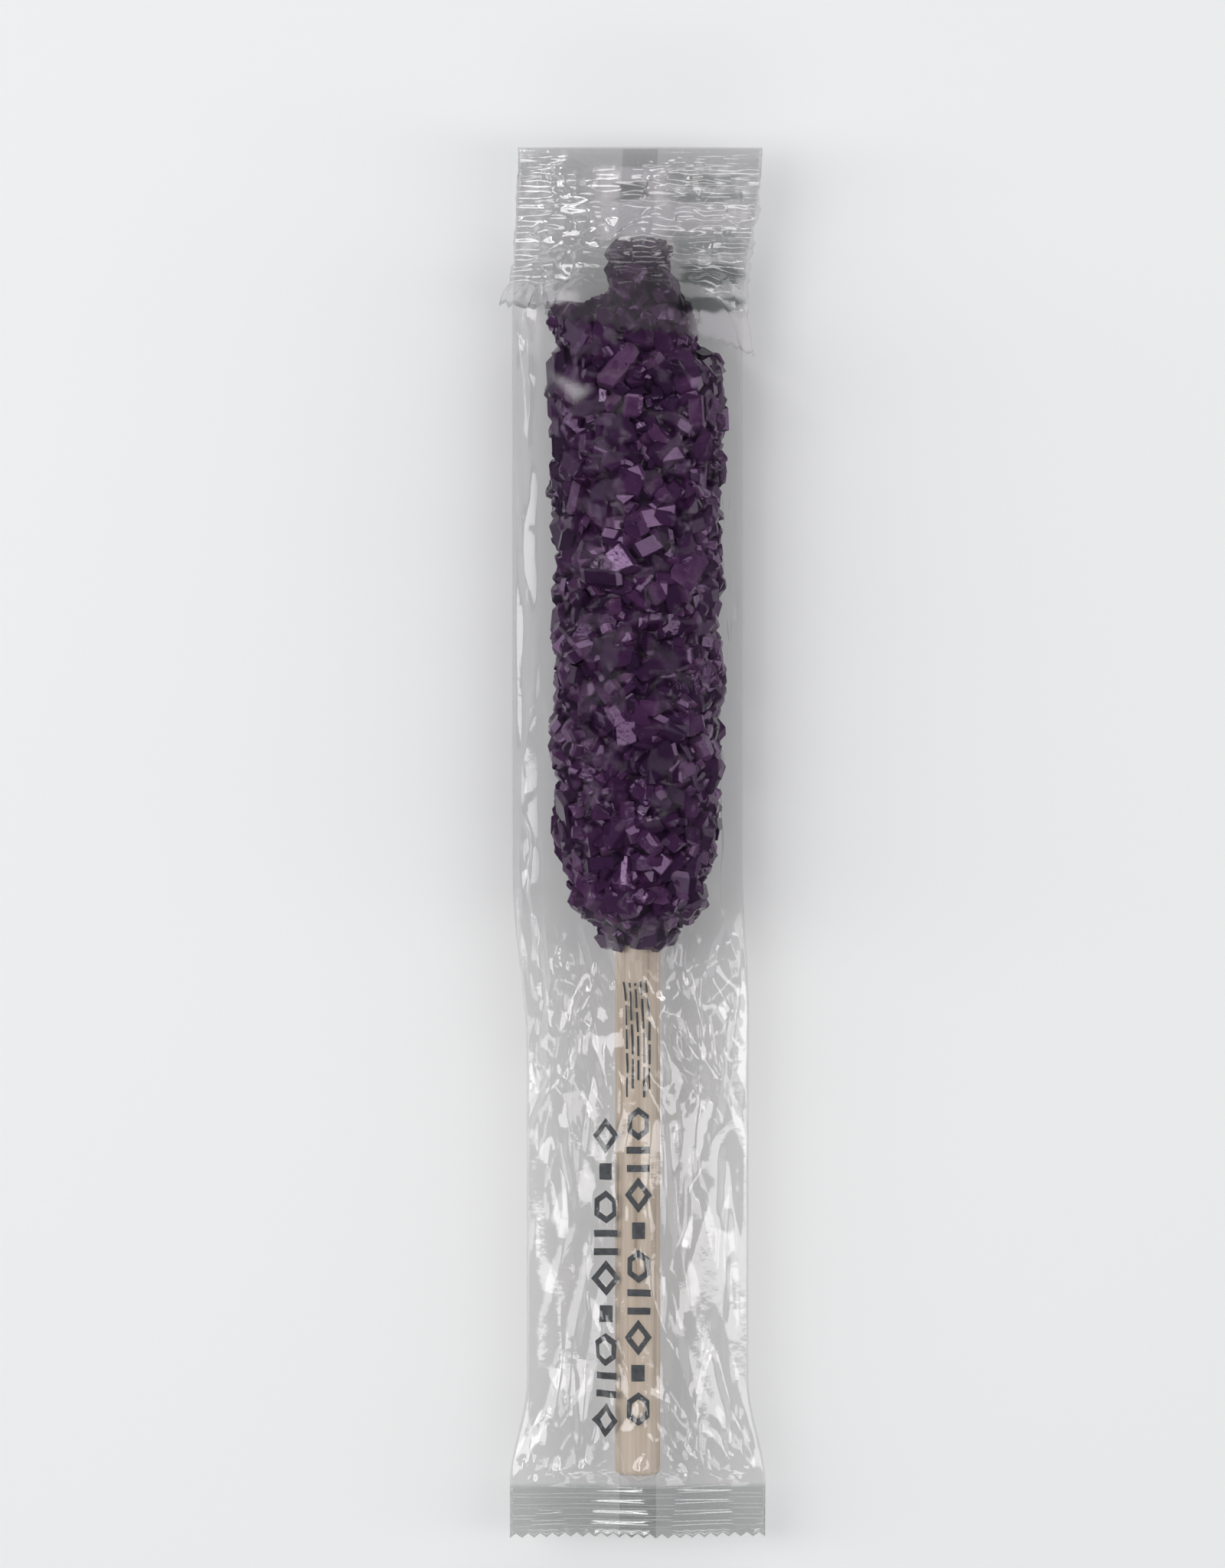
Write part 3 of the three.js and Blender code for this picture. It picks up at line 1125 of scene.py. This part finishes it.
def film_material():
    """Thin clear film: it shows what is behind it, reflects like two faces of plastic, and is
    greyer where it is crimped and cloudy in places. Some of that grey, on the flap, is painted
    shade, and some of that cloud is painted highlights in pale patches."""
    material, nodes, links, shader = new_material("clear_film")
    nodes.remove(shader)
    # Greyer where the film is pressed in a seal or crimp, and where painted shade lies on the flap
    tone = ramp(nodes, links, read_attribute(nodes, "seal"), [
        (0.0, (0.925, 0.925, 0.925)),
        (0.6, (0.775, 0.785, 0.78)),
        (1.0, (0.605, 0.62, 0.617)),
    ])
    clear = nodes.new("ShaderNodeBsdfTransparent")
    links.new(tone, clear.inputs["Color"])
    # The cloud and the gloss are faintly mauve: a painted reflection of purple surroundings and of
    # the candy below
    haze_and_highlight = nodes.new("ShaderNodeBsdfDiffuse")
    set_inputs(haze_and_highlight, {"Color": (0.83, 0.785, 0.825, 1)})
    gloss = nodes.new("ShaderNodeBsdfGlossy")
    set_inputs(gloss, {"Color": (0.99, 0.97, 0.98, 1), "Roughness": 0.08})
    crinkle = scaled_noise(nodes, links, scale=700, detail=4)
    add_bump(nodes, links, gloss, crinkle, strength=0.35, distance=0.00012)

    steepness, edge_gain, face_on = 3.5, 0.55, 0.07
    facing = nodes.new("ShaderNodeLayerWeight")
    set_inputs(facing, {"Blend": 0.5})
    steep = calculate(nodes, links, "POWER", facing.outputs["Facing"], steepness)
    mirror = calculate(nodes, links, "MULTIPLY_ADD", steep, edge_gain, face_on)
    shine = calculate(nodes, links, "MULTIPLY", mirror, read_attribute(nodes, "shine"))
    # How cloudy the film is, with its painted highlights
    cloud_and_highlight_share = read_attribute(nodes, "haze_and_highlight")
    body = mix_shaders(nodes, links, cloud_and_highlight_share, clear.outputs[0], haze_and_highlight.outputs[0])
    surface = mix_shaders(nodes, links, shine, body, gloss.outputs[0])
    links.new(surface, nodes["Material Output"].inputs["Surface"])
    return material


def ink_material():
    """Dark grey ink, a little thin in places."""
    material, nodes, links, shader = new_material("dark_ink")
    thin = scaled_noise(nodes, links, scale=1200, detail=3)
    colour = ramp(nodes, links, thin, [
        (0.3, (0.030, 0.034, 0.040)),
        (0.75, (0.085, 0.092, 0.100)),
    ])
    links.new(colour, shader.inputs["Base Color"])
    set_inputs(shader, {"Roughness": 0.55})
    return material


def floor_material():
    """A plain pale floor."""
    material, nodes, links, shader = new_material("pale_floor")
    mottle = scaled_noise(nodes, links, scale=3, detail=2)
    colour = ramp(nodes, links, mottle, [
        (0.3, (0.93, 0.93, 0.93)),
        (0.7, (0.945, 0.945, 0.945)),
    ])
    links.new(colour, shader.inputs["Base Color"])
    set_inputs(shader, {"Roughness": 0.9, "Specular IOR Level": 0.2})
    return material


# The stage

# The photo's frame at the stick: its height, its scale, its middle, the column of the stick's
# axis, and the rows of the candy's tip and of the eye
FRAME_HEIGHT = 201.5
PHOTO_MM_PER_PX = 0.0984
PHOTO_MIDDLE_PX = (800, 1024)
PHOTO_AXIS_PX = 833
PHOTO_TIP_PX = 314
PHOTO_EYE_PX = 460
CAMERA_DISTANCE = 1100.0


def make_floor():
    """A wide floor under the part, in metres."""
    half = 3.0
    mesh = bpy.data.meshes.new("floor")
    mesh.from_pydata(
        [(-half, -half, 0), (half, -half, 0), (half, half, 0), (-half, half, 0)],
        [], [(0, 1, 2, 3)],
    )
    mesh.materials.append(floor_material())
    floor = bpy.data.objects.new("floor", mesh)
    bpy.context.scene.collection.objects.link(floor)


def add_light(name, place, size, power):
    """A soft area light in metres and watts, turned towards the part."""
    data = bpy.data.lights.new(name, "AREA")
    data.shape = "RECTANGLE"
    data.size, data.size_y = size
    data.energy = power
    light = bpy.data.objects.new(name, data)
    light.location = place
    light.rotation_euler = (-Vector(place)).to_track_quat("-Z", "Y").to_euler()
    light.visible_camera = False
    bpy.context.scene.collection.objects.link(light)


def make_lights():
    """Soft boxes along both sides and past both ends, and a dim pale world."""
    add_light("left_softbox", (-0.62, 0.05, 0.62), (0.24, 1.1), 3.3)
    add_light("right_softbox", (0.66, -0.05, 0.60), (0.22, 1.1), 2.65)
    add_light("far_softbox", (0.20, 0.82, 0.64), (1.0, 0.26), 2.6)
    add_light("near_softbox", (-0.15, -0.95, 0.75), (0.9, 0.3), 1.5)
    add_light("high_strip", (-0.42, 0.25, 0.78), (0.06, 0.5), 1.0)
    world = bpy.data.worlds.new("studio")
    world.use_nodes = True
    background = world.node_tree.nodes["Background"]
    set_inputs(background, {"Color": (0.93, 0.96, 1.0, 1), "Strength": 0.2})
    bpy.context.scene.world = world
    bpy.context.scene.view_settings.view_transform = "Standard"


def make_camera():
    """A camera that looks down on the part as the photo's camera looks at the standing stick."""
    tip = CANDY_TIP - HALFWAY
    middle_x = (PHOTO_MIDDLE_PX[0] - PHOTO_AXIS_PX) * PHOTO_MM_PER_PX
    middle_y = tip - (PHOTO_MIDDLE_PX[1] - PHOTO_TIP_PX) * PHOTO_MM_PER_PX
    eye_y = tip - (PHOTO_EYE_PX - PHOTO_TIP_PX) * PHOTO_MM_PER_PX
    aim = Vector((middle_x, middle_y, AXIS_HEIGHT)) * MM
    place = Vector((middle_x, eye_y, AXIS_HEIGHT + CAMERA_DISTANCE)) * MM
    data = bpy.data.cameras.new("camera")
    data.sensor_fit = "VERTICAL"
    data.angle = 2 * math.atan(FRAME_HEIGHT * MM / 2 / (aim - place).length)
    data.clip_start = 0.05
    camera = bpy.data.objects.new("camera", data)
    camera.location = place
    camera.rotation_euler = (math.atan2(aim.y - place.y, place.z - aim.z), 0, 0)
    bpy.context.scene.collection.objects.link(camera)
    bpy.context.scene.camera = camera


def make_part():
    """The candy, its stick, the print and the film round them."""
    crystals = make_crystals(crystal_material())
    core = make_candy_core(core_material())
    stick = make_stick(wood_material())
    film_look = film_material()
    film, stations = make_film(film_look, [crystals, core, stick])
    make_flap(film_look, film, stations)
    make_lap_seam(film_look, film, stations)
    make_print(ink_material(), film, stations)


make_part()
make_floor()
make_lights()
make_camera()
